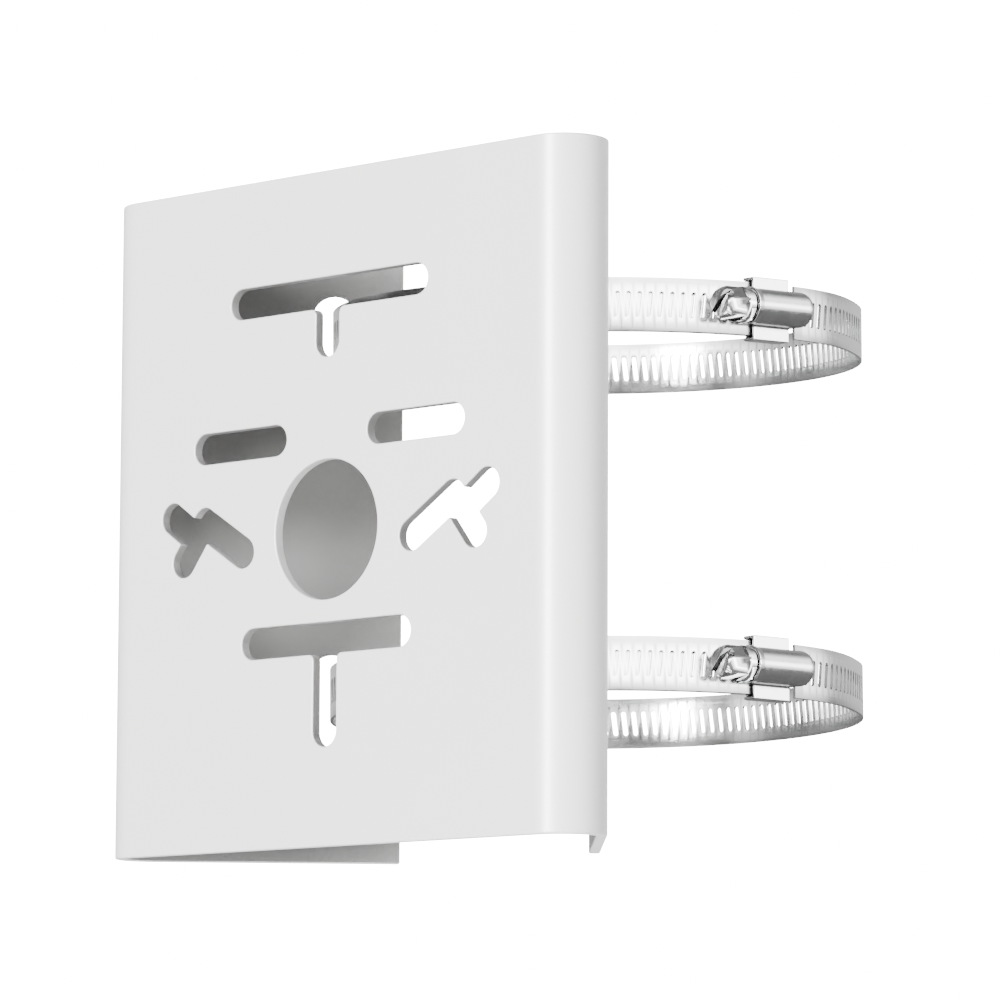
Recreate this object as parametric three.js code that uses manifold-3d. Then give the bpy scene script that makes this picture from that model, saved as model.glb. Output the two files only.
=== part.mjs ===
// Pole-mount bracket: one bent sheet and two perforated worm-drive hose clamps.
// Units are millimetres. The front plate faces -Y, the right side is +X and +Z is up.
// The origin is the middle of the plate's bottom edge, half way through the sheet.
import * as THREE from 'three';
import Module from 'manifold-3d';
import { mergeVertices } from 'three/addons/utils/BufferGeometryUtils.js';

const wasm = await Module();
wasm.setup();
const { Manifold, Mesh: SolidMesh } = wasm;

// ---- bracket sheet ----
const SHEET = 2.7;
const PLATE_WIDTH = 150;
const PLATE_HEIGHT = 158;
const BEND_RADIUS = 10;
const BEND_ANGLE = THREE.MathUtils.degToRad(133);
const WING_LENGTH = 58.6;
const BEND_STEPS = 14;

// ---- cut-outs in the front plate (heights are above the bottom edge) ----
const SLOT_WIDTH = 7.3;
const SLOT_CORNER = 1.6;
const CABLE_HOLE_RADIUS = 16.4;
const CABLE_HOLE_HEIGHT = 73.5;
const TOP_TEE = { length: 63.6, height: 129.1, stemBottom: 113.9 };
const BOTTOM_TEE = { length: 54.2, height: 48.2, stemBottom: 23 };
const SIDE_SLOT = { offset: 28.3, length: 30.4, height: 95.6 };
// Each side has a forked cut-out made of three obrounds; x is measured away from the middle.
const FORK_STROKES = [
  [27.2, 70, 40, 78],
  [40, 78, 46.8, 69.2],
  [43.8, 75.2, 50.6, 79.9],
];

// ---- strap openings in the wings ----
const STRAP_OPENING = { width: 10.8, height: 31, alongWing: 42 };
const STRAP_OPENING_HEIGHTS = [123, 35];

// ---- hose clamps ----
const LOOP_CENTRE_Y = 93.5;
const STRIP_WIDTH = 12.7;
const STRIP_THICKNESS = 0.8;
const STRIP_INNER_RADIUS = 64;
const LAYER_STEP = 1.1;
const OUTER_FACE_RADIUS = STRIP_INNER_RADIUS + LAYER_STEP + STRIP_THICKNESS;
const PITCH_ANGLE = 360 / 158;
const STRIP_SLOT = { length: 6.2, width: 1.25, slant: 0.12 };
const LOOP_CELLS = 157;
const TAIL_CELLS = 33;
const RISE_CELLS = 10;
const LEVEL_CELLS = 4;
const TAIL_LIFT = 0.3;
const SETTLE_CELLS = { from: 4, to: 13 };
const HOUSING_ANGLE = -9;
const STRIP_START = HOUSING_ANGLE + 3;
const STRIP_CLEARANCE = 0.3;
const TAB_RADIUS = STRIP_INNER_RADIUS - STRIP_CLEARANCE;
const CLAMPS = [
  { name: 'upper', height: 129.5, leanX: -0.017, leanY: 0.031 },
  { name: 'lower', height: 41.7, leanX: 0.02, leanY: -0.01 },
];

// ---- housing and screw: X along the screw, Y outwards from the strip, Z across it ----
const SCREW_HEIGHT = 4.2;
const TUNNEL = { mouth: -12.2, shoulder: 3.6, radius: 4.2, wall: 0.7, noseLength: 2.7 };
const FLARE = { length: 1.6, rise: 0.35 };
const TOE = { end: 6.6, height: 2.4, halfWidth: 3.6 };
const SADDLE = { back: -7.8, front: 3.2, top: 1.3, halfWidth: 7.5, lip: 0.75, lipDrop: 2.6 };
const TAB = { back: -6.6, front: 1.2, depth: 4.4, width: 3.9 };
const HEAD = {
  face: -21,
  back: -14.8,
  acrossFlats: 7,
  turn: -15,
  crownChamfer: 0.65,
  crownLength: 12,
  crownSpread: 5.5,
};
const DRIVER_SLOT = { width: 1.4, depth: 2, turn: 45 };
const COLLAR = { end: -12.7, radius: 4.2 };
const WORM = { start: -9, end: 3.2, pitch: 2.62, core: 2.3, crest: 3, sides: 16, rowsPerTurn: 6 };

function toSolid(geometry) {
  const bare = new THREE.BufferGeometry();
  bare.setAttribute('position', geometry.getAttribute('position').clone());
  if (geometry.index) {
    bare.setIndex(geometry.index.clone());
  }
  const merged = mergeVertices(bare, 1e-4);
  return new Manifold(new SolidMesh({
    numProp: 3,
    vertProperties: new Float32Array(merged.getAttribute('position').array),
    triVerts: new Uint32Array(merged.index.array),
  }));
}

function toGeometry(solid) {
  const mesh = solid.getMesh();
  const points = [];
  for (let i = 0; i < mesh.vertProperties.length; i += mesh.numProp) {
    points.push(mesh.vertProperties[i], mesh.vertProperties[i + 1], mesh.vertProperties[i + 2]);
  }
  const geometry = new THREE.BufferGeometry();
  geometry.setAttribute('position', new THREE.Float32BufferAttribute(points, 3));
  geometry.setIndex(Array.from(mesh.triVerts));
  geometry.computeVertexNormals();
  return geometry;
}

function prism(shape, depth, segments = 12) {
  return new THREE.ExtrudeGeometry(shape, { depth, bevelEnabled: false, curveSegments: segments });
}

// A box given by its low and high corners.
function block(low, high) {
  const geometry = new THREE.BoxGeometry(high[0] - low[0], high[1] - low[1], high[2] - low[2]);
  geometry.translate((low[0] + high[0]) / 2, (low[1] + high[1]) / 2, (low[2] + high[2]) / 2);
  return toSolid(geometry);
}

// A cylinder along the local X axis between two stations.
function barX(x0, x1, r0, r1, y, z, sides) {
  const geometry = new THREE.CylinderGeometry(r1, r0, x1 - x0, sides);
  geometry.rotateZ(-Math.PI / 2);
  geometry.translate((x0 + x1) / 2, y, z);
  return toSolid(geometry);
}

// A straight slot with round ends between two points.
function obround(x0, y0, x1, y1, radius) {
  const along = Math.atan2(y1 - y0, x1 - x0);
  const shape = new THREE.Shape();
  shape.absarc(x1, y1, radius, along - Math.PI / 2, along + Math.PI / 2, false);
  shape.absarc(x0, y0, radius, along + Math.PI / 2, along + Math.PI * 1.5, false);
  shape.closePath();
  return shape;
}

// A horizontal slot with a round-ended stem hanging from its middle.
function tee({ length, height, stemBottom }) {
  const r = SLOT_WIDTH / 2;
  const end = length / 2 - r;
  const stemCentre = stemBottom + r;
  const under = height - r;
  const shape = new THREE.Shape();
  shape.absarc(end, height, r, -Math.PI / 2, Math.PI / 2, false);
  shape.absarc(-end, height, r, Math.PI / 2, Math.PI * 1.5, false);
  shape.absarc(-r - SLOT_CORNER, under - SLOT_CORNER, SLOT_CORNER, Math.PI / 2, 0, true);
  shape.absarc(0, stemCentre, r, Math.PI, Math.PI * 2, false);
  shape.absarc(r + SLOT_CORNER, under - SLOT_CORNER, SLOT_CORNER, Math.PI, Math.PI / 2, true);
  shape.closePath();
  return shape;
}

// Turns a shape drawn in X and Z into a cutter that passes through the front plate.
function plateCutter(shape, segments) {
  const geometry = prism(shape, SHEET * 4, segments);
  geometry.rotateX(Math.PI / 2);
  geometry.translate(0, SHEET * 2, 0);
  return toSolid(geometry);
}

function sheetOutline() {
  const outer = [];
  const inner = [];
  const bendCentreX = PLATE_WIDTH / 2 - BEND_RADIUS;
  const bendCentreY = BEND_RADIUS - SHEET / 2;
  for (let i = 0; i <= BEND_STEPS; i += 1) {
    const turn = (BEND_ANGLE * i) / BEND_STEPS;
    for (const [list, radius] of [[outer, BEND_RADIUS], [inner, BEND_RADIUS - SHEET]]) {
      list.push([bendCentreX + radius * Math.sin(turn), bendCentreY - radius * Math.cos(turn)]);
    }
  }
  const run = [WING_LENGTH * Math.cos(BEND_ANGLE), WING_LENGTH * Math.sin(BEND_ANGLE)];
  for (const list of [outer, inner]) {
    const last = list[list.length - 1];
    list.push([last[0] + run[0], last[1] + run[1]]);
  }
  const rightHalf = outer.concat(inner.slice().reverse());
  const leftOuter = outer.map(([x, y]) => [-x, y]).reverse();
  const leftInner = inner.map(([x, y]) => [-x, y]);
  const ring = leftOuter.concat(rightHalf, leftInner);
  return new THREE.Shape(ring.map(([x, y]) => new THREE.Vector2(x, y)));
}

function strapOpening(side, height) {
  const { width, height: tall, alongWing } = STRAP_OPENING;
  const reach = tall / 2 - width / 2;
  const shape = obround(0, -reach, 0, reach, width / 2);
  const geometry = prism(shape, SHEET * 6, 10);
  geometry.translate(0, 0, -SHEET * 3);
  // shape plane (X, Y) becomes (along the wing, up)
  const along = new THREE.Vector3(Math.cos(BEND_ANGLE), Math.sin(BEND_ANGLE), 0);
  const up = new THREE.Vector3(0, 0, 1);
  const through = new THREE.Vector3().crossVectors(along, up);
  const radius = BEND_RADIUS - SHEET;
  const start = new THREE.Vector3(
    PLATE_WIDTH / 2 - BEND_RADIUS + radius * Math.sin(BEND_ANGLE),
    BEND_RADIUS - SHEET / 2 - radius * Math.cos(BEND_ANGLE),
    height,
  );
  start.addScaledVector(along, alongWing);
  geometry.applyMatrix4(new THREE.Matrix4().makeBasis(along, up, through).setPosition(start));
  const solid = toSolid(geometry);
  return side > 0 ? solid : solid.mirror([1, 0, 0]);
}

function bracketSheet() {
  let solid = toSolid(prism(sheetOutline(), PLATE_HEIGHT));
  const cutters = [];
  cutters.push(plateCutter(tee(TOP_TEE), 8));
  cutters.push(plateCutter(tee(BOTTOM_TEE), 8));
  const hole = new THREE.Shape();
  hole.absarc(0, CABLE_HOLE_HEIGHT, CABLE_HOLE_RADIUS, 0, Math.PI * 2, false);
  cutters.push(plateCutter(hole, 48));
  const r = SLOT_WIDTH / 2;
  for (const side of [-1, 1]) {
    const reach = SIDE_SLOT.length / 2 - r;
    const middle = side * SIDE_SLOT.offset;
    const level = SIDE_SLOT.height;
    cutters.push(plateCutter(obround(middle - reach, level, middle + reach, level, r), 8));
    for (const [x0, z0, x1, z1] of FORK_STROKES) {
      cutters.push(plateCutter(obround(side * x0, z0, side * x1, z1, r), 8));
    }
    for (const height of STRAP_OPENING_HEIGHTS) {
      cutters.push(strapOpening(side, height));
    }
  }
  for (const cutter of cutters) {
    solid = solid.subtract(cutter);
  }
  return toGeometry(solid);
}

// A perforated strip bent round the loop axis. Each cell is one pitch long and holds one slot.
// radiusAt gives the inner face radius at a cell boundary counted from the strip's start.
function perforatedStrip(startAngle, cells, radiusAt, plainCells) {
  const points = [];
  const faces = [];
  const half = STRIP_WIDTH / 2;
  const step = THREE.MathUtils.degToRad(PITCH_ANGLE);
  const start = THREE.MathUtils.degToRad(startAngle);
  const place = (cell, height, layer) => {
    const low = Math.floor(Math.min(Math.max(cell, 0), cells - 1e-6));
    const part = cell - low;
    const radius = radiusAt(low) * (1 - part) + radiusAt(low + 1) * part + layer * STRIP_THICKNESS;
    const angle = start - cell * step;
    points.push(radius * Math.cos(angle), radius * Math.sin(angle), height);
    return points.length / 3 - 1;
  };
  const quad = (a, b, c, d) => faces.push(a, c, b, a, d, c);
  const halfSlot = STRIP_SLOT.width / 2 / (step * OUTER_FACE_RADIUS);
  const slotEnd = STRIP_SLOT.length / 2;
  const lean = (-STRIP_SLOT.slant * slotEnd) / (step * OUTER_FACE_RADIUS);
  let edge = null;
  for (let cell = 0; cell <= cells; cell += 1) {
    const next = {
      innerLow: place(cell, -half, 0),
      innerHigh: place(cell, half, 0),
      outerLow: place(cell, -half, 1),
      outerHigh: place(cell, half, 1),
    };
    if (edge === null) {
      quad(next.innerLow, next.outerLow, next.outerHigh, next.innerHigh);
    } else {
      quad(edge.innerLow, next.innerLow, next.outerLow, edge.outerLow);
      quad(edge.innerHigh, edge.outerHigh, next.outerHigh, next.innerHigh);
      const plain = cell <= plainCells || cell > cells - plainCells;
      if (plain) {
        quad(edge.outerLow, next.outerLow, next.outerHigh, edge.outerHigh);
        quad(edge.innerLow, edge.innerHigh, next.innerHigh, next.innerLow);
      } else {
        const rings = [0, 1].map((layer) => [
          place(cell - 0.5 - halfSlot - lean, -slotEnd, layer),
          place(cell - 0.5 + halfSlot - lean, -slotEnd, layer),
          place(cell - 0.5 + halfSlot + lean, slotEnd, layer),
          place(cell - 0.5 - halfSlot + lean, slotEnd, layer),
        ]);
        const outside = [edge.outerLow, next.outerLow, next.outerHigh, edge.outerHigh];
        const inside = [edge.innerLow, next.innerLow, next.innerHigh, edge.innerHigh];
        for (let i = 0; i < 4; i += 1) {
          const j = (i + 1) % 4;
          quad(outside[i], outside[j], rings[1][j], rings[1][i]);
          quad(inside[j], inside[i], rings[0][i], rings[0][j]);
          quad(rings[1][i], rings[1][j], rings[0][j], rings[0][i]);
        }
      }
    }
    edge = next;
  }
  quad(edge.innerLow, edge.innerHigh, edge.outerHigh, edge.outerLow);
  const geometry = new THREE.BufferGeometry();
  geometry.setAttribute('position', new THREE.Float32BufferAttribute(points, 3));
  geometry.setIndex(faces);
  return geometry;
}

// The loop leaves the housing on the inner layer. It climbs over RISE_CELLS, then runs level
// for its last LEVEL_CELLS under the worm.
function loopRadius(cell) {
  const top = LOOP_CELLS - LEVEL_CELLS;
  const risen = THREE.MathUtils.smoothstep(cell, top - RISE_CELLS, top);
  return STRIP_INNER_RADIUS + (LAYER_STEP + TAIL_LIFT) * risen;
}

// The tail leaves the worm a little high and settles on the layer below.
function tailRadius(cell) {
  const settled = THREE.MathUtils.smoothstep(cell, SETTLE_CELLS.from, SETTLE_CELLS.to);
  return STRIP_INNER_RADIUS + LAYER_STEP + TAIL_LIFT * (1 - settled);
}

// Housing pieces are drawn with X along the screw, Y outwards from the strip and Z up,
// then stood on the loop at the housing's angle.
function onLoop(solid) {
  const angle = THREE.MathUtils.degToRad(HOUSING_ANGLE);
  const outward = new THREE.Vector3(Math.cos(angle), Math.sin(angle), 0);
  const along = new THREE.Vector3(-Math.sin(angle), Math.cos(angle), 0);
  const up = new THREE.Vector3(0, 0, 1);
  const frame = new THREE.Matrix4().makeBasis(along, outward, up.clone().negate());
  frame.setPosition(outward.multiplyScalar(OUTER_FACE_RADIUS));
  const geometry = toGeometry(solid);
  geometry.applyMatrix4(frame);
  return geometry;
}

function sleeve(inner, outer, halfHeight) {
  const ring = (radius, tall) => {
    const geometry = new THREE.CylinderGeometry(radius, radius, tall, 180);
    geometry.rotateX(Math.PI / 2);
    geometry.translate(0, -OUTER_FACE_RADIUS, 0);
    return toSolid(geometry);
  };
  return ring(outer, halfHeight * 2).subtract(ring(inner, halfHeight * 2 + 1));
}

function housing() {
  const { mouth, shoulder, radius, wall, noseLength } = TUNNEL;
  const { back, front, top, halfWidth, lip, lipDrop } = SADDLE;
  const dome = (size, length) => {
    const geometry = new THREE.SphereGeometry(size, 20, 12);
    geometry.scale(length / size, 1, 1);
    geometry.translate(shoulder, SCREW_HEIGHT, 0);
    return toSolid(geometry);
  };
  const footing = -0.2;
  let shell = barX(mouth, shoulder, radius, radius, SCREW_HEIGHT, 0, 24)
    .add(barX(mouth, mouth + FLARE.length, radius + FLARE.rise, radius, SCREW_HEIGHT, 0, 24))
    .add(dome(radius, noseLength))
    .add(block([mouth + wall, footing, -radius], [shoulder, SCREW_HEIGHT, radius]))
    .add(block([shoulder - wall, footing, -TOE.halfWidth], [TOE.end, TOE.height, TOE.halfWidth]))
    .add(block([back, top - wall, -halfWidth], [front, top, halfWidth]));
  for (const side of [-1, 1]) {
    const lipLow = side > 0 ? halfWidth - lip : -halfWidth;
    shell = shell.add(block([back, -lipDrop, lipLow], [front, top, lipLow + lip]));
    const tabLow = side > 0 ? halfWidth - TAB.width : -halfWidth;
    const tab = block([TAB.back, -TAB.depth, tabLow], [TAB.front, 0, tabLow + TAB.width]);
    shell = shell.add(tab.intersect(sleeve(TAB_RADIUS - lip, TAB_RADIUS, halfWidth + 1)));
  }
  const bore = radius - wall;
  shell = shell.subtract(barX(mouth - 1, shoulder, bore, bore, SCREW_HEIGHT, 0, 24));
  shell = shell.subtract(
    barX(mouth, mouth + FLARE.length, bore + FLARE.rise, bore, SCREW_HEIGHT, 0, 24),
  );
  shell = shell.subtract(dome(bore, noseLength - wall));
  shell = shell.subtract(block([mouth - 1, -1, -bore], [shoulder + wall / 2, SCREW_HEIGHT, bore]));
  const room = OUTER_FACE_RADIUS + TAIL_LIFT + STRIP_CLEARANCE;
  shell = shell.subtract(sleeve(TAB_RADIUS, room, STRIP_WIDTH / 2 + STRIP_CLEARANCE));
  return onLoop(shell);
}

// The worm is a helical ridge on a core, drawn as a grid of rings.
function worm(x0, x1) {
  const { pitch, core, crest, sides, rowsPerTurn } = WORM;
  const rows = Math.round(((x1 - x0) / pitch) * rowsPerTurn);
  const points = [];
  const faces = [];
  for (let row = 0; row <= rows; row += 1) {
    const x = x0 + ((x1 - x0) * row) / rows;
    const plain = row < 2 || row > rows - 2;
    for (let side = 0; side < sides; side += 1) {
      const phase = (x - x0) / pitch - side / sides;
      const ridge = Math.min(1, 0.65 + 0.65 * Math.cos(Math.PI * 2 * phase));
      const radius = plain ? core : core + (crest - core) * ridge;
      const angle = (Math.PI * 2 * side) / sides;
      points.push(x, radius * Math.cos(angle), radius * Math.sin(angle));
    }
  }
  const first = points.length / 3;
  points.push(x0, 0, 0, x1, 0, 0);
  for (let side = 0; side < sides; side += 1) {
    const next = (side + 1) % sides;
    for (let row = 0; row < rows; row += 1) {
      const a = row * sides + side;
      const b = row * sides + next;
      faces.push(a, b, b + sides, a, b + sides, a + sides);
    }
    faces.push(first, next, side);
    faces.push(first + 1, rows * sides + side, rows * sides + next);
  }
  const geometry = new THREE.BufferGeometry();
  geometry.setAttribute('position', new THREE.Float32BufferAttribute(points, 3));
  geometry.setIndex(faces);
  return geometry;
}

function screw() {
  const { face, back, acrossFlats, turn, crownChamfer, crownLength, crownSpread } = HEAD;
  const corner = acrossFlats / 2 / Math.cos(Math.PI / 6);
  const crown = barX(face, face + crownLength, corner - crownChamfer, corner + crownSpread, 0, 0, 32);
  let solid = barX(face, back, corner, corner, 0, 0, 6).rotate([turn, 0, 0]).intersect(crown);
  const halfSlot = DRIVER_SLOT.width / 2;
  const slot = block([face - 1, -halfSlot, -corner - 1], [face + DRIVER_SLOT.depth, halfSlot, corner + 1]);
  solid = solid
    .subtract(slot.rotate([DRIVER_SLOT.turn, 0, 0]))
    .add(barX(back - 0.2, COLLAR.end, COLLAR.radius, COLLAR.radius, 0, 0, 28))
    .add(barX(COLLAR.end - 0.2, WORM.start + 0.4, WORM.core, WORM.core, 0, 0, 16))
    .add(toSolid(worm(WORM.start, WORM.end)));
  return onLoop(solid.translate([0, SCREW_HEIGHT, 0]));
}

function finish(name, geometry, colour, metalness, roughness) {
  const material = new THREE.MeshStandardMaterial({ color: colour, metalness, roughness });
  geometry.computeVertexNormals();
  const mesh = new THREE.Mesh(geometry, material);
  mesh.name = name;
  return mesh;
}

// Rotation that leans a level loop by small slopes along X and Y, about the loop's centre.
function loopPose({ height, leanX, leanY }) {
  const up = new THREE.Vector3(-leanX, -leanY, 1).normalize();
  const turn = new THREE.Quaternion().setFromUnitVectors(new THREE.Vector3(0, 0, 1), up);
  const centre = new THREE.Vector3(0, LOOP_CENTRE_Y, height);
  return new THREE.Matrix4().compose(centre, turn, new THREE.Vector3(1, 1, 1));
}

const part = new THREE.Group();
part.name = 'pole_mount_bracket';
part.add(finish('bracket_sheet', bracketSheet(), 0xe8e8e6, 0.0, 0.5));

for (const clamp of CLAMPS) {
  const pieces = [
    ['band', perforatedStrip(STRIP_START, LOOP_CELLS, loopRadius, 1), 0.32],
    ['tail', perforatedStrip(STRIP_START - PITCH_ANGLE / 2, TAIL_CELLS, tailRadius, 1), 0.32],
    ['housing', housing(), 0.28],
    ['screw', screw(), 0.25],
  ];
  for (const [piece, geometry, roughness] of pieces) {
    geometry.applyMatrix4(loopPose(clamp));
    part.add(finish(`${clamp.name}_${piece}`, geometry, 0xc9ccd0, 1.0, roughness));
  }
}

export default part;
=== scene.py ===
"""Looks for the pole-mount bracket with two worm-drive hose clamps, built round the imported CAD."""

import math

import bmesh
import bpy
from mathutils import Matrix, Vector
from mathutils.geometry import convex_hull_2d


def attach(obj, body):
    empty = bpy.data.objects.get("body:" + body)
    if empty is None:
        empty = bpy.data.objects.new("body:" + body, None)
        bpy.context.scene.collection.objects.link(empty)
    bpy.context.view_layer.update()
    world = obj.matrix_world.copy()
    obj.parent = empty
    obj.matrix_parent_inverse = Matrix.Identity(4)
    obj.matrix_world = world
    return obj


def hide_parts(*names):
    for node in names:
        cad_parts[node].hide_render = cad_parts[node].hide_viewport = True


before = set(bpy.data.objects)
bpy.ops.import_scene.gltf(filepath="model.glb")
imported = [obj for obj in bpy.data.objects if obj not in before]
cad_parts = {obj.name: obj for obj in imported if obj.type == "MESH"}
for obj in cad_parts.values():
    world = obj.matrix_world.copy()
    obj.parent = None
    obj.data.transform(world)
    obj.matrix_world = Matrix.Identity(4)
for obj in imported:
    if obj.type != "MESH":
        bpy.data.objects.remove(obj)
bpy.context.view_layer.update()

MM = 0.001

# ---- bracket sheet, in millimetres ----
SHEET = 2.7
PLATE_WIDTH = 150
PLATE_HEIGHT = 158
BEND_RADIUS = 10
BEND_ANGLE = math.radians(133)
WING_LENGTH = 58.6
BEND_STEPS = 33
EDGE_ROUND = 0.42

SLOT_WIDTH = 7.3
SLOT_CORNER = 1.6
CABLE_HOLE_RADIUS = 16.4
CABLE_HOLE_HEIGHT = 73.5
TOP_TEE = {"length": 63.6, "height": 129.1, "stem_bottom": 113.9}
BOTTOM_TEE = {"length": 54.2, "height": 48.2, "stem_bottom": 23.0}
SIDE_SLOT = {"offset": 28.3, "length": 30.4, "height": 95.6}
FORK_STROKES = [
    (27.2, 70.0, 40.0, 78.0),
    (40.0, 78.0, 46.8, 69.2),
    (43.8, 75.2, 50.6, 79.9),
]
STRAP_OPENING = {"width": 10.8, "height": 31, "along_wing": 42}
STRAP_OPENING_HEIGHTS = (123, 35)

# ---- hose clamps, in millimetres ----
LOOP_CENTRE_Y = 93.5
STRIP_WIDTH = 12.7
STRIP_THICKNESS = 0.8
STRIP_RIM = 0.12
STRIP_INNER_RADIUS = 64.0
LAYER_STEP = 1.1
OUTER_FACE_RADIUS = STRIP_INNER_RADIUS + LAYER_STEP + STRIP_THICKNESS
PITCH_ANGLE = 360 / 158
STRIP_SLOT = {"length": 6.2, "width": 1.25, "slant": -0.12}
SLOT_ROUND_STEPS = 5
LOOP_CELLS = 157
TAIL_CELLS = 33
RISE_CELLS = 10
LEVEL_CELLS = 4
TAIL_LIFT = 0.3
SETTLE_CELLS = (4, 13)
HOUSING_ANGLE = math.radians(-9)
STRIP_START = math.degrees(HOUSING_ANGLE) + 3
STRIP_CLEARANCE = 0.3
TAB_RADIUS = STRIP_INNER_RADIUS - STRIP_CLEARANCE
CLAMPS = (
    {"name": "upper", "height": 129.5, "lean_x": -0.017, "lean_y": 0.031},
    {"name": "lower", "height": 41.7, "lean_x": 0.02, "lean_y": -0.01},
)

# ---- housing and screw: X along the screw, Y outwards from the strip, Z across it ----
SCREW_HEIGHT = 4.2
TUNNEL = {"mouth": -12.2, "shoulder": 3.6, "radius": 4.2, "wall": 0.7, "nose": 2.7}
FLARE = {"length": 1.6, "rise": 0.35}
TOE = {"end": 6.6, "height": 2.4, "half_width": 3.6}
SADDLE = {"back": -7.8, "front": 3.2, "top": 1.3, "half_width": 7.5, "lip": 0.75, "drop": 2.6}
TAB = {"back": -6.6, "front": 1.2, "depth": 4.4, "width": 3.9}
HEAD = {"face": -21, "back": -14.8, "across_flats": 7, "turn": -15}
CROWN = {"chamfer": 0.85, "length": 12, "spread": 7}
DRIVER_SLOT = {"width": 1.4, "depth": 2, "turn": 45}
COLLAR = {"end": -12.7, "radius": 4.2, "chamfer": 0.4}
ROUND_SIDES = 64
WORM = {"start": -9, "end": 3.2, "pitch": 2.62, "core": 2.3, "crest": 2.95, "rows_per_turn": 22}
FOOTING = -0.2
OVERLAP = 0.2


# ---------------------------------------------------------------- camera
def add_camera():
    azimuth = math.radians(42.45)
    elevation = math.radians(-7.4)
    roll = math.radians(0.26)
    distance = 1.2456
    target = Vector((0.0547, -0.00135, 0.0756))
    back = Vector((
        math.sin(azimuth) * math.cos(elevation),
        -math.cos(azimuth) * math.cos(elevation),
        math.sin(elevation),
    ))
    level = Vector((math.cos(azimuth), math.sin(azimuth), 0))
    upright = back.cross(level)
    right = math.cos(roll) * level + math.sin(roll) * upright
    up = back.cross(right)
    data = bpy.data.cameras.new("camera")
    data.lens = 199.4
    data.sensor_width = 36.0
    data.clip_start = 0.05
    data.clip_end = 50
    camera = bpy.data.objects.new("camera", data)
    turn = Matrix((right, up, back)).transposed().to_4x4()
    camera.matrix_world = Matrix.Translation(target + back * distance) @ turn
    bpy.context.scene.collection.objects.link(camera)
    bpy.context.scene.camera = camera


# ---------------------------------------------------------------- node helpers
def new_material(name):
    material = bpy.data.materials.new(name)
    material.use_nodes = True
    tree = material.node_tree
    shader = tree.nodes["Principled BSDF"]
    return material, tree, shader


def node(tree, kind, **settings):
    made = tree.nodes.new(kind)
    for key, value in settings.items():
        if key in made.inputs:
            made.inputs[key].default_value = value
        else:
            setattr(made, key, value)
    return made


def mapped(tree, scale):
    place = node(tree, "ShaderNodeTexCoord")
    mapping = node(tree, "ShaderNodeMapping")
    mapping.inputs["Scale"].default_value = scale
    tree.links.new(place.outputs["Object"], mapping.inputs["Vector"])
    return mapping.outputs["Vector"]


def ramp(tree, source, stops):
    made = node(tree, "ShaderNodeValToRGB")
    elements = made.color_ramp.elements
    while len(elements) < len(stops):
        elements.new(0.5)
    for element, (position, colour) in zip(elements, stops):
        element.position = position
        element.color = colour
    tree.links.new(source, made.inputs["Fac"])
    return made.outputs["Color"]


def grey(value, tint=(1.0, 1.0, 1.0)):
    return (value * tint[0], value * tint[1], value * tint[2], 1.0)


# ---------------------------------------------------------------- materials
def powder_coat():
    """White powder coat: a faint orange peel and uneven gloss, with painted shade from ambient
    occlusion that greys the colour and lowers the gloss in recesses.
    """
    material, tree, shader = new_material("white_powder_coat")
    warm = (1.0, 0.997, 0.988)
    cloud = node(tree, "ShaderNodeTexNoise", Scale=28.0, Detail=3.0)
    tree.links.new(mapped(tree, (1, 1, 1)), cloud.inputs["Vector"])
    colour = ramp(tree, cloud.outputs["Fac"], [(0.3, grey(0.71, warm)), (0.7, grey(0.73, warm))])
    # painted shade: an ambient-occlusion ramp darkens the base colour in the cavity behind the plate
    # and in other recesses
    shelter = node(tree, "ShaderNodeAmbientOcclusion", Distance=0.075, samples=24, only_local=True)
    painted_shade_ramp = ramp(tree, shelter.outputs["AO"], [
        (0.12, grey(0.75)), (0.4, grey(0.36)), (0.75, grey(0.26)), (0.95, grey(1.0)),
    ])
    painted_shade_mix = node(tree, "ShaderNodeMix", data_type="RGBA", blend_type="MULTIPLY")
    painted_shade_mix.inputs[0].default_value = 1.0
    tree.links.new(colour, painted_shade_mix.inputs[6])
    tree.links.new(painted_shade_ramp, painted_shade_mix.inputs[7])
    tree.links.new(painted_shade_mix.outputs[2], shader.inputs["Base Color"])
    peel = node(tree, "ShaderNodeTexNoise", Scale=900.0, Detail=2.0)
    tree.links.new(mapped(tree, (1, 1, 1)), peel.inputs["Vector"])
    rough = node(tree, "ShaderNodeMapRange")
    rough.inputs["To Min"].default_value = 0.30
    rough.inputs["To Max"].default_value = 0.36
    tree.links.new(cloud.outputs["Fac"], rough.inputs["Value"])
    tree.links.new(rough.outputs["Result"], shader.inputs["Roughness"])
    bump = node(tree, "ShaderNodeBump", Strength=0.12, Distance=0.00015)
    tree.links.new(peel.outputs["Fac"], bump.inputs["Height"])
    tree.links.new(bump.outputs["Normal"], shader.inputs["Normal"])
    # painted shade in the reflections: the same occlusion ramp lowers the specular level in recesses
    gloss = node(tree, "ShaderNodeMath", operation="MULTIPLY")
    gloss.inputs[1].default_value = 0.75
    tree.links.new(painted_shade_ramp, gloss.inputs[0])
    tree.links.new(gloss.outputs[0], shader.inputs["Specular IOR Level"])
    return material


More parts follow.
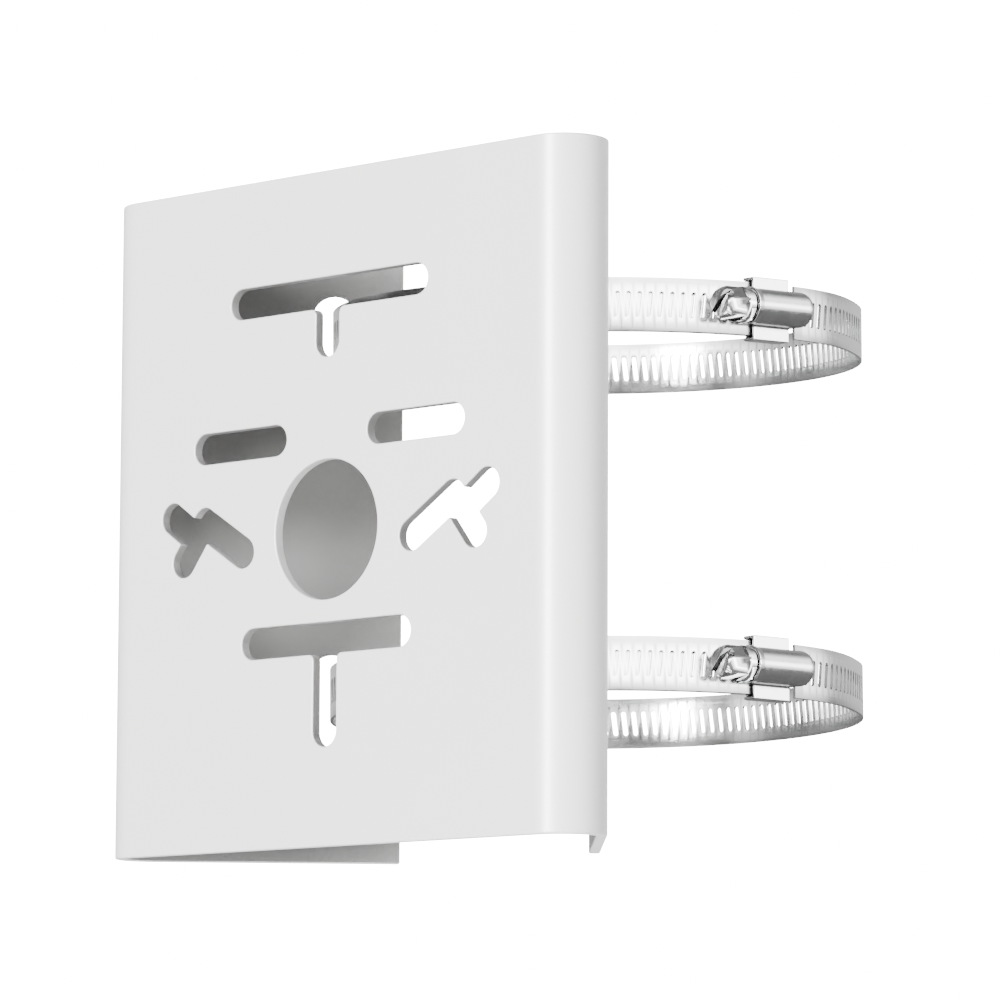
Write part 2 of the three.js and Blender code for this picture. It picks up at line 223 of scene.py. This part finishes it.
def stainless(name, tone, rough_low, rough_high, grain, bump_strength):
    """Bright stainless: fine rolling grain, small dings and uneven polish."""
    material, tree, shader = new_material(name)
    shader.inputs["Metallic"].default_value = 1.0
    lines = node(tree, "ShaderNodeTexNoise", Scale=1.0, Detail=4.0)
    tree.links.new(mapped(tree, grain), lines.inputs["Vector"])
    blotch = node(tree, "ShaderNodeTexNoise", Scale=220.0, Detail=3.0)
    tree.links.new(mapped(tree, (1, 1, 1)), blotch.inputs["Vector"])
    mixed = node(tree, "ShaderNodeMath", operation="ADD")
    tree.links.new(lines.outputs["Fac"], mixed.inputs[0])
    tree.links.new(blotch.outputs["Fac"], mixed.inputs[1])
    cool = (0.99, 0.995, 1.0)
    stops = [(0.35, grey(tone * 0.93, cool)), (0.65, grey(tone, cool))]
    halved = node(tree, "ShaderNodeMath", operation="MULTIPLY")
    halved.inputs[1].default_value = 0.5
    tree.links.new(mixed.outputs[0], halved.inputs[0])
    tree.links.new(ramp(tree, halved.outputs[0], stops), shader.inputs["Base Color"])
    rough = node(tree, "ShaderNodeMapRange")
    rough.inputs["From Min"].default_value = 0.35
    rough.inputs["From Max"].default_value = 0.65
    rough.inputs["To Min"].default_value = rough_low
    rough.inputs["To Max"].default_value = rough_high
    tree.links.new(halved.outputs[0], rough.inputs["Value"])
    tree.links.new(rough.outputs["Result"], shader.inputs["Roughness"])
    bump = node(tree, "ShaderNodeBump", Strength=bump_strength, Distance=0.0001)
    tree.links.new(halved.outputs[0], bump.inputs["Height"])
    tree.links.new(bump.outputs["Normal"], shader.inputs["Normal"])
    return material


def floor_paint():
    material, tree, shader = new_material("pale_floor")
    cloud = node(tree, "ShaderNodeTexNoise", Scale=3.0, Detail=2.0)
    colour = ramp(tree, cloud.outputs["Fac"], [(0.3, grey(0.11)), (0.7, grey(0.13))])
    tree.links.new(colour, shader.inputs["Base Color"])
    shader.inputs["Roughness"].default_value = 0.7
    return material


# ---------------------------------------------------------------- mesh helpers
def new_object(name, vertices, faces):
    mesh = bpy.data.meshes.new(name)
    mesh.from_pydata([Vector(v) * MM for v in vertices], [], faces)
    mesh.validate()
    made = bpy.data.objects.new(name, mesh)
    bpy.context.scene.collection.objects.link(made)
    return made


def recalculated(made):
    work = bmesh.new()
    work.from_mesh(made.data)
    bmesh.ops.recalc_face_normals(work, faces=work.faces)
    work.to_mesh(made.data)
    work.free()
    return made


def bake_modifiers(made):
    """Replaces the object's mesh by what its modifiers make of it."""
    graph = bpy.context.evaluated_depsgraph_get()
    graph.update()
    mesh = bpy.data.meshes.new_from_object(made.evaluated_get(graph))
    made.modifiers.clear()
    old = made.data
    made.data = mesh
    bpy.data.meshes.remove(old)
    return made


def boolean(made, others, operation):
    for other in others:
        modifier = made.modifiers.new(operation.lower(), "BOOLEAN")
        modifier.operation = operation
        modifier.solver = "EXACT"
        modifier.object = other
    bake_modifiers(made)
    for other in others:
        bpy.data.objects.remove(other)
    return made


def smooth(made, angle=35):
    made.data.shade_smooth()
    made.data.set_sharp_from_angle(angle=math.radians(angle))
    return made


def round_edges(made, width, segments=3, limit=50):
    modifier = made.modifiers.new("round", "BEVEL")
    modifier.width = width * MM
    modifier.segments = segments
    modifier.limit_method = "ANGLE"
    modifier.angle_limit = math.radians(limit)
    modifier.harden_normals = False
    bake_modifiers(made)
    smooth(made)
    even = made.modifiers.new("even_normals", "WEIGHTED_NORMAL")
    even.weight = 100
    even.keep_sharp = True
    return made


def prism(name, outline, place, depth):
    """A closed prism: outline points (a, b) at +-depth / 2, put in space by place(a, b, c)."""
    count = len(outline)
    vertices = [place(a, b, -depth / 2) for a, b in outline]
    vertices += [place(a, b, depth / 2) for a, b in outline]
    faces = [list(range(count)), list(range(2 * count - 1, count - 1, -1))]
    for i in range(count):
        j = (i + 1) % count
        faces.append([i, j, j + count, i + count])
    return recalculated(new_object(name, vertices, faces))


def arc(cx, cy, radius, start, end, steps):
    points = []
    for i in range(steps + 1):
        angle = math.radians(start + (end - start) * i / steps)
        points.append((cx + radius * math.cos(angle), cy + radius * math.sin(angle)))
    return points


# ---------------------------------------------------------------- bracket sheet
def sheet_sections():
    """Outer and inner points of the right half of the bent sheet, from the bend to the free edge."""
    centre = (PLATE_WIDTH / 2 - BEND_RADIUS, BEND_RADIUS - SHEET / 2)
    outer = []
    inner = []
    for i in range(BEND_STEPS + 1):
        turn = BEND_ANGLE * i / BEND_STEPS
        for points, radius in ((outer, BEND_RADIUS), (inner, BEND_RADIUS - SHEET)):
            x = centre[0] + radius * math.sin(turn)
            y = centre[1] - radius * math.cos(turn)
            points.append((x, y))
    run = (WING_LENGTH * math.cos(BEND_ANGLE), WING_LENGTH * math.sin(BEND_ANGLE))
    for points in (outer, inner):
        points.append((points[-1][0] + run[0], points[-1][1] + run[1]))
    return outer, inner


def sheet_blank():
    outer, inner = sheet_sections()
    outer = [(-x, y) for x, y in reversed(outer)] + outer
    inner = [(-x, y) for x, y in reversed(inner)] + inner
    count = len(outer)
    vertices = []
    for height in (0, PLATE_HEIGHT):
        for row in (outer, inner):
            vertices += [(x, y, height) for x, y in row]
    faces = []
    for i in range(count - 1):
        o, n = i, count + i
        top = 2 * count
        faces.append([o, o + 1, o + 1 + top, o + top])
        faces.append([n + 1, n, n + top, n + 1 + top])
        faces.append([o + 1, o, n, n + 1])
        faces.append([o + top, o + 1 + top, n + 1 + top, n + top])
    for i in (0, count - 1):
        faces.append([i, i + count, i + 3 * count, i + 2 * count])
    return recalculated(new_object("sheet", vertices, faces))


def through_plate(a, b, c):
    return (a, c, b)


def obround(x0, z0, x1, z1, radius):
    rings = arc(x0, z0, radius, 0, 350, 35) + arc(x1, z1, radius, 0, 350, 35)
    order = convex_hull_2d([Vector(p) for p in rings])
    return [rings[i] for i in order]


def tee(length, height, stem_bottom):
    r = SLOT_WIDTH / 2
    end = length / 2 - r
    under = height - r
    c = SLOT_CORNER
    points = arc(end, height, r, -90, 90, 16)
    points += arc(-end, height, r, 90, 270, 16)
    points += arc(-r - c, under - c, c, 90, 0, 8)
    points += arc(0, stem_bottom + r, r, 180, 360, 16)
    points += arc(r + c, under - c, c, 180, 90, 8)
    return points


def wing_place(side, height):
    """Puts (along the wing, up, through) at the middle of a strap opening."""
    radius = BEND_RADIUS - SHEET / 2
    along = Vector((math.cos(BEND_ANGLE), math.sin(BEND_ANGLE), 0))
    through = Vector((math.sin(BEND_ANGLE), -math.cos(BEND_ANGLE), 0))
    middle = Vector((PLATE_WIDTH / 2 - BEND_RADIUS, BEND_RADIUS - SHEET / 2, height))
    middle += through * radius + along * STRAP_OPENING["along_wing"]

    def place(a, b, c):
        point = middle + along * a + through * c + Vector((0, 0, b))
        return (point.x * side, point.y, point.z)

    return place


def bracket_sheet(paint):
    sheet = sheet_blank()
    depth = SHEET * 4
    cutters = [
        prism("cut", tee(**TOP_TEE), through_plate, depth),
        prism("cut", tee(**BOTTOM_TEE), through_plate, depth),
        prism("cut", arc(0, CABLE_HOLE_HEIGHT, CABLE_HOLE_RADIUS, 0, 355, 71), through_plate, depth),
    ]
    r = SLOT_WIDTH / 2
    reach = SIDE_SLOT["length"] / 2 - r
    tall = STRAP_OPENING["height"] / 2 - STRAP_OPENING["width"] / 2
    for side in (-1, 1):
        middle = side * SIDE_SLOT["offset"]
        level = SIDE_SLOT["height"]
        outline = obround(middle - reach, level, middle + reach, level, r)
        cutters.append(prism("cut", outline, through_plate, depth))
        strokes = []
        for x0, z0, x1, z1 in FORK_STROKES:
            outline = obround(side * x0, z0, side * x1, z1, r)
            strokes.append(prism("cut", outline, through_plate, depth))
        cutters.append(boolean(strokes[0], strokes[1:], "UNION"))
        for height in STRAP_OPENING_HEIGHTS:
            outline = obround(0, -tall, 0, tall, STRAP_OPENING["width"] / 2)
            cutters.append(prism("cut", outline, wing_place(side, height), depth))
    boolean(sheet, cutters, "DIFFERENCE")
    round_edges(sheet, EDGE_ROUND)
    sheet.name = "bent_sheet"
    sheet.data.materials.append(paint)
    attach(sheet, "bracket")
    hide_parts("bracket_sheet")
    return sheet


# ---------------------------------------------------------------- clamp frames
def loop_frame(clamp):
    up = Vector((-clamp["lean_x"], -clamp["lean_y"], 1)).normalized()
    turn = Vector((0, 0, 1)).rotation_difference(up)
    centre = Vector((0, LOOP_CENTRE_Y, clamp["height"])) * MM
    return Matrix.Translation(centre) @ turn.to_matrix().to_4x4()


def housing_frame():
    """Local X runs along the screw, Y outwards from the strip and Z down the strip's width."""
    outward = Vector((math.cos(HOUSING_ANGLE), math.sin(HOUSING_ANGLE), 0))
    along = Vector((-math.sin(HOUSING_ANGLE), math.cos(HOUSING_ANGLE), 0))
    frame_matrix = Matrix((along, outward, Vector((0, 0, -1)))).transposed().to_4x4()
    return Matrix.Translation(outward * OUTER_FACE_RADIUS * MM) @ frame_matrix


def settle(made, matrix):
    made.data.transform(matrix)
    made.data.update()
    return made


# ---------------------------------------------------------------- perforated strip
def eased(value):
    value = min(max(value, 0.0), 1.0)
    return value * value * (3 - 2 * value)


def loop_radius(cell):
    """The loop leaves the housing on the inner layer and climbs to run level under the worm."""
    foot = LOOP_CELLS - LEVEL_CELLS - RISE_CELLS
    risen = eased((cell - foot) / RISE_CELLS)
    return STRIP_INNER_RADIUS + (LAYER_STEP + TAIL_LIFT) * risen


def tail_radius(cell):
    """The tail leaves the worm a little high and settles on the layer below."""
    settle_from, settle_to = SETTLE_CELLS
    settled = eased((cell - settle_from) / (settle_to - settle_from))
    return STRIP_INNER_RADIUS + LAYER_STEP + TAIL_LIFT * (1 - settled)


def slot_ring(round_steps):
    """Slot outline in (pitch fraction, height), slanted, counter-clockwise."""
    pitch = math.radians(PITCH_ANGLE) * OUTER_FACE_RADIUS
    half_width = STRIP_SLOT["width"] / 2
    straight = STRIP_SLOT["length"] / 2 - half_width
    points = arc(0, straight, half_width, 0, 180, round_steps)
    points += arc(0, -straight, half_width, 180, 360, round_steps)
    return [((x + STRIP_SLOT["slant"] * z) / pitch, z) for x, z in points]


def perforated_strip(name, start_degrees, cells, radius_at, plain_cells):
    """A punched strip round the loop axis. Every cell is one pitch long and holds one slot."""
    step = math.radians(PITCH_ANGLE)
    start = math.radians(start_degrees)
    half = STRIP_WIDTH / 2
    rim = STRIP_RIM
    shoulder = 0.3 * rim
    ring = slot_ring(SLOT_ROUND_STEPS)
    vertices = []
    faces = []
    lookup = {}

    def place(cell, height, depth):
        key = (round(cell, 5), round(height, 4), round(depth, 4))
        if key in lookup:
            return lookup[key]
        low = min(max(cell, 0), cells)
        radius = radius_at(low) + depth
        angle = start - cell * step
        vertices.append((radius * math.cos(angle), radius * math.sin(angle), height))
        lookup[key] = len(vertices) - 1
        return lookup[key]

    # cross-section of the strip's edge, from the inner face round to the outer face
    edge_profile = [
        (half - rim, 0.0),
        (half - shoulder, shoulder),
        (half, rim),
        (half, STRIP_THICKNESS - rim),
        (half - shoulder, STRIP_THICKNESS - shoulder),
        (half - rim, STRIP_THICKNESS),
    ]
    for cell in range(cells):
        for (z0, d0), (z1, d1) in zip(edge_profile, edge_profile[1:]):
            faces.append([place(cell, z0, d0), place(cell + 1, z0, d0),
                          place(cell + 1, z1, d1), place(cell, z1, d1)])
            faces.append([place(cell + 1, -z0, d0), place(cell, -z0, d0),
                          place(cell, -z1, d1), place(cell + 1, -z1, d1)])
        flat = half - rim
        plain = cell < plain_cells or cell >= cells - plain_cells
        for depth in (0.0, STRIP_THICKNESS):
            corners = [place(cell, -flat, depth), place(cell + 1, -flat, depth),
                       place(cell + 1, flat, depth), place(cell, flat, depth)]
            if plain:
                faces.append(corners if depth else corners[::-1])
                continue
            inner = [place(cell + 0.5 + a, z, depth) for a, z in ring]
            count = len(inner)
            # each corner of the cell fans out to its own quarter of the slot outline
            top = [corners[2], corners[3]]
            low = [corners[0], corners[1]]
            quarter = count // 4
            right_top = inner[0:quarter + 1]
            left_top = inner[quarter:count // 2]
            left_low = inner[count // 2:count // 2 + quarter + 1]
            right_low = inner[count // 2 + quarter:count]
            parts = []
            for chain, corner in ((right_top, top[0]), (left_top, top[1]),
                                  (left_low, low[0]), (right_low, low[1])):
                for a, b in zip(chain, chain[1:]):
                    parts.append([a, corner, b])
            parts.append([inner[quarter], top[0], top[1]])
            parts.append([inner[count // 2 + quarter], low[0], low[1]])
            parts.append([inner[count // 2 - 1], top[1], low[0], inner[count // 2]])
            parts.append([inner[count - 1], low[1], top[0], inner[0]])
            faces.extend(parts)
        if not plain:
            for (a0, z0), (a1, z1) in zip(ring, ring[1:] + ring[:1]):
                faces.append([
                    place(cell + 0.5 + a0, z0, 0.0),
                    place(cell + 0.5 + a1, z1, 0.0),
                    place(cell + 0.5 + a1, z1, STRIP_THICKNESS),
                    place(cell + 0.5 + a0, z0, STRIP_THICKNESS),
                ])
    for cell in (0, cells):
        cap = [place(cell, z, d) for z, d in edge_profile]
        cap += [place(cell, -z, d) for z, d in reversed(edge_profile)]
        faces.append(cap)
    strip = recalculated(new_object(name, vertices, faces))
    return smooth(strip, 40)


# ---------------------------------------------------------------- housing
def box(name, low, high):
    outline = [(low[0], low[1]), (high[0], low[1]), (high[0], high[1]), (low[0], high[1])]
    middle = (low[2] + high[2]) / 2
    return prism(name, outline, lambda a, b, c: (a, b, c + middle), high[2] - low[2])


def lathe_x(name, profile, sides, centre_y):
    """Turns (x, radius) points about the line y = centre_y, z = 0. The ends close on the axis."""
    vertices = []
    faces = []
    for x, radius in profile:
        for i in range(sides):
            angle = 2 * math.pi * i / sides
            vertices.append((x, centre_y + radius * math.cos(angle), radius * math.sin(angle)))
    rows = len(profile)
    for row in range(rows - 1):
        for i in range(sides):
            j = (i + 1) % sides
            faces.append([row * sides + i, row * sides + j,
                          (row + 1) * sides + j, (row + 1) * sides + i])
    faces.append(list(range(sides - 1, -1, -1)))
    faces.append(list(range((rows - 1) * sides, rows * sides)))
    return recalculated(new_object(name, vertices, faces))


def tunnel_profile(mouth, shoulder, radius, length):
    points = [(mouth, radius + FLARE["rise"]), (mouth + FLARE["length"], radius)]
    for i in range(9):
        angle = math.pi / 2 * i / 8.3
        points.append((shoulder + length * math.sin(angle), radius * math.cos(angle) ** 0.7))
    return points


def sleeve(inner, outer, half_height):
    """A ring round the loop axis, in the housing's own frame."""
    sides = 240
    vertices = []
    faces = []
    section = ((outer, -half_height), (outer, half_height), (inner, half_height), (inner, -half_height))
    for radius, z in section:
        for i in range(sides):
            angle = 2 * math.pi * i / sides
            y = radius * math.sin(angle) - OUTER_FACE_RADIUS
            vertices.append((radius * math.cos(angle), y, z))
    for row in range(4):
        following = (row + 1) % 4
        for i in range(sides):
            j = (i + 1) % sides
            faces.append([row * sides + i, row * sides + j,
                          following * sides + j, following * sides + i])
    return recalculated(new_object("sleeve", vertices, faces))


def housing(metal, clamp):
    mouth = TUNNEL["mouth"]
    shoulder = TUNNEL["shoulder"]
    radius = TUNNEL["radius"]
    wall = TUNNEL["wall"]
    bore = radius - wall
    half = SADDLE["half_width"]
    lip = SADDLE["lip"]
    back = SADDLE["back"]
    front = SADDLE["front"]
    top = SADDLE["top"]
    profile = tunnel_profile(mouth, shoulder, radius, TUNNEL["nose"])
    shell = lathe_x("shell", profile, ROUND_SIDES, SCREW_HEIGHT)
    toe = TOE["half_width"]
    solids = [
        box("flank", (mouth + wall, FOOTING, -radius), (shoulder, SCREW_HEIGHT, radius)),
        box("toe", (shoulder - wall, FOOTING, -toe), (TOE["end"], TOE["height"], toe)),
        box("skirt", (back, top - wall, -half), (front, top, half)),
    ]
    for side in (-1, 1):
        low = half - lip if side > 0 else -half
        solids.append(box("lip", (back, -SADDLE["drop"], low), (front, top, low + lip)))
        low = half - TAB["width"] if side > 0 else -half
        tab = box("tab", (TAB["back"], -TAB["depth"], low), (TAB["front"], 0, low + TAB["width"]))
        solids.append(boolean(tab, [sleeve(TAB_RADIUS - lip, TAB_RADIUS, half + 1)], "INTERSECT"))
    boolean(shell, solids, "UNION")
    hollow = [(mouth - 1, bore + FLARE["rise"])]
    hollow += tunnel_profile(mouth, shoulder, bore, TUNNEL["nose"] - wall)[1:]
    room = OUTER_FACE_RADIUS + TAIL_LIFT + STRIP_CLEARANCE
    hollows = [
        lathe_x("bore", hollow, ROUND_SIDES, SCREW_HEIGHT),
        box("throat", (mouth - 1, -1, -bore), (shoulder + wall / 2, SCREW_HEIGHT, bore)),
        sleeve(TAB_RADIUS, room, STRIP_WIDTH / 2 + STRIP_CLEARANCE),
    ]
    boolean(shell, hollows, "DIFFERENCE")
    pressed = shell.modifiers.new("pressed", "REMESH")
    pressed.mode = "VOXEL"
    pressed.voxel_size = 0.14 * MM
    soften = shell.modifiers.new("soften", "SMOOTH")
    soften.factor = 0.5
    soften.iterations = 8
    fewer = shell.modifiers.new("fewer", "DECIMATE")
    fewer.ratio = 0.3
    bake_modifiers(shell)
    smooth(shell, 60)
    settle(shell, loop_frame(clamp) @ housing_frame())
    shell.name = f"{clamp['name']}_clamp_housing"
    shell.data.materials.append(metal)
    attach(shell, f"{clamp['name']}_clamp")
    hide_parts(f"{clamp['name']}_housing")


# ---------------------------------------------------------------- screw
def worm(x0, x1):
    sides = 40
    pitch = WORM["pitch"]
    rows = int((x1 - x0) / pitch * WORM["rows_per_turn"])
    vertices = []
    faces = []
    for row in range(rows + 1):
        x = x0 + (x1 - x0) * row / rows
        fade = max(0.0, min(1.0, x - x0, x1 - x))
        for i in range(sides):
            wave = 0.5 + 0.5 * math.cos(2 * math.pi * ((x - x0) / pitch - i / sides))
            flattened = wave * 2.2 - 0.55
            ridge = min(1.0, max(0.0, flattened)) * fade
            radius = WORM["core"] + (WORM["crest"] - WORM["core"]) * ridge
            angle = 2 * math.pi * i / sides
            vertices.append((x, SCREW_HEIGHT + radius * math.cos(angle), radius * math.sin(angle)))
    for row in range(rows):
        for i in range(sides):
            j = (i + 1) % sides
            faces.append([row * sides + i, row * sides + j,
                          (row + 1) * sides + j, (row + 1) * sides + i])
    faces.append(list(range(sides - 1, -1, -1)))
    faces.append(list(range(rows * sides, (rows + 1) * sides)))
    return recalculated(new_object("worm", vertices, faces))


def screw(metal, clamp):
    face = HEAD["face"]
    back = HEAD["back"]
    corner = HEAD["across_flats"] / 2 / math.cos(math.pi / 6)
    hexagon = arc(0, 0, corner, HEAD["turn"], HEAD["turn"] + 300, 5)
    middle = (face + back) / 2
    head = prism("head", hexagon, lambda a, b, c: (c + middle, SCREW_HEIGHT + a, b), back - face)
    cone = [(face, corner - CROWN["chamfer"]), (face + CROWN["length"], corner + CROWN["spread"])]
    crown = lathe_x("crown", cone, ROUND_SIDES, SCREW_HEIGHT)
    boolean(head, [crown], "INTERSECT")
    slot = DRIVER_SLOT["width"] / 2
    driver = box("driver", (face - 1, -slot, -6), (face + DRIVER_SLOT["depth"], slot, 6))
    turn = Matrix.Rotation(math.radians(DRIVER_SLOT["turn"]), 4, "X")
    driver.data.transform(Matrix.Translation((0, SCREW_HEIGHT * MM, 0)) @ turn)
    boolean(head, [driver], "DIFFERENCE")
    ring = COLLAR["radius"]
    end = COLLAR["end"]
    chamfer = COLLAR["chamfer"]
    collar_profile = [
        (back - OVERLAP, ring - 0.3),
        (back + OVERLAP, ring),
        (end - chamfer, ring),
        (end, ring - chamfer),
    ]
    collar = lathe_x("collar", collar_profile, ROUND_SIDES, SCREW_HEIGHT)
    core = WORM["core"]
    neck_profile = [(end - OVERLAP, core), (WORM["start"] + 2 * OVERLAP, core)]
    neck = lathe_x("neck", neck_profile, 48, SCREW_HEIGHT)
    boolean(head, [collar, neck, worm(WORM["start"], WORM["end"])], "UNION")
    round_edges(head, 0.16, 2, 40)
    bake_modifiers(head)
    smooth(head, 40)
    settle(head, loop_frame(clamp) @ housing_frame())
    head.name = f"{clamp['name']}_hex_worm_screw"
    head.data.materials.append(metal)
    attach(head, f"{clamp['name']}_worm_screw")
    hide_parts(f"{clamp['name']}_screw")


def clamp_strips(metal, clamp):
    name = clamp["name"]
    loop = perforated_strip(f"{name}_loop_strip", STRIP_START, LOOP_CELLS, loop_radius, 1)
    tail_start = STRIP_START - PITCH_ANGLE / 2
    tail = perforated_strip(f"{name}_tail_strip", tail_start, TAIL_CELLS, tail_radius, 1)
    for strip, body, replaced in ((loop, "clamp", "band"), (tail, "tail_end", "tail")):
        settle(strip, loop_frame(clamp))
        strip.data.materials.append(metal)
        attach(strip, f"{name}_{body}")
        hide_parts(f"{name}_{replaced}")


# ---------------------------------------------------------------- studio
def studio():
    floor_level = -0.75
    half = 3.0
    mesh = bpy.data.meshes.new("floor")
    corners = [(-half, -half, floor_level), (half, -half, floor_level),
               (half, half, floor_level), (-half, half, floor_level)]
    mesh.from_pydata(corners, [], [(0, 1, 2, 3)])
    floor = bpy.data.objects.new("floor", mesh)
    bpy.context.scene.collection.objects.link(floor)
    floor.data.materials.append(floor_paint())

    world = bpy.data.worlds.new("white_room")
    bpy.context.scene.world = world
    world.use_nodes = True
    tree = world.node_tree
    background = tree.nodes["Background"]
    background.inputs["Color"].default_value = (1, 1, 1, 1)
    # the room is seen and reflected, and the softboxes alone light the matt surfaces
    world.cycles_visibility.diffuse = False
    path = node(tree, "ShaderNodeLightPath")
    place = node(tree, "ShaderNodeTexCoord")
    facing = node(tree, "ShaderNodeVectorMath", operation="DOT_PRODUCT")
    tree.links.new(place.outputs["Generated"], facing.inputs[0])
    facing.inputs[1].default_value = (0.86, -0.5, 0.0)
    turned = node(tree, "ShaderNodeMapRange")
    turned.inputs["From Min"].default_value = -0.2
    turned.inputs["From Max"].default_value = 0.85
    turned.inputs["To Min"].default_value = 1.0
    turned.inputs["To Max"].default_value = 15.0
    tree.links.new(facing.outputs["Value"], turned.inputs["Value"])
    split = node(tree, "ShaderNodeSeparateXYZ")
    tree.links.new(place.outputs["Generated"], split.inputs["Vector"])
    height = node(tree, "ShaderNodeMapRange")
    height.inputs["From Min"].default_value = -1.0
    tree.links.new(split.outputs["Z"], height.inputs["Value"])
    bands = ramp(tree, height.outputs["Result"], [
        (0.30, grey(0.1)), (0.47, grey(0.35)), (0.53, grey(1.0)), (0.60, grey(1.0)),
        (0.68, grey(0.35)), (0.80, grey(0.55)), (0.92, grey(0.12)),
    ])
    reflected = node(tree, "ShaderNodeMath", operation="MULTIPLY")
    tree.links.new(turned.outputs["Result"], reflected.inputs[0])
    tree.links.new(bands, reflected.inputs[1])
    seen = node(tree, "ShaderNodeMapRange")
    seen.inputs["To Max"].default_value = 25.0
    tree.links.new(reflected.outputs[0], seen.inputs["To Min"])
    tree.links.new(path.outputs["Is Camera Ray"], seen.inputs["Value"])
    tree.links.new(seen.outputs["Result"], background.inputs["Strength"])

    def softbox(name, azimuth, elevation, distance, size, power, glossy=False, bounces=1):
        a = math.radians(azimuth)
        e = math.radians(elevation)
        aim = Vector((0, 0.04, 0.08))
        away = Vector((math.sin(a) * math.cos(e), -math.cos(a) * math.cos(e), math.sin(e)))
        data = bpy.data.lights.new(name, "AREA")
        data.shape = "RECTANGLE"
        data.size, data.size_y = size
        data.energy = power
        data.cycles.max_bounces = bounces
        light = bpy.data.objects.new(name, data)
        light.location = aim + away * distance
        light.visible_glossy = glossy
        light.visible_diffuse = not glossy
        light.rotation_euler = away.to_track_quat("Z", "Y").to_euler()
        bpy.context.scene.collection.objects.link(light)

    softbox("highlight", 3, 8, 2.2, (0.45, 1.0), 200, glossy=True)
    softbox("key", 10, 12, 2.2, (1.6, 1.6), 225)
    softbox("under", 70, -76, 0.7, (0.7, 0.7), 14)
    # lights the backs of the wings and leaves the space behind the plate in shade
    softbox("behind", 180, 22, 2.2, (1.6, 1.6), 170, bounces=0)


add_camera()
studio()
paint = powder_coat()
strip_metal = stainless("rolled_stainless", 0.72, 0.16, 0.26, (60, 60, 2600), 0.05)
housing_metal = stainless("pressed_stainless", 0.70, 0.14, 0.26, (900, 900, 900), 0.12)
screw_metal = stainless("turned_steel", 0.70, 0.10, 0.22, (700, 700, 700), 0.08)
bracket_sheet(paint)
for clamp in CLAMPS:
    clamp_strips(strip_metal, clamp)
    housing(housing_metal, clamp)
    screw(screw_metal, clamp)
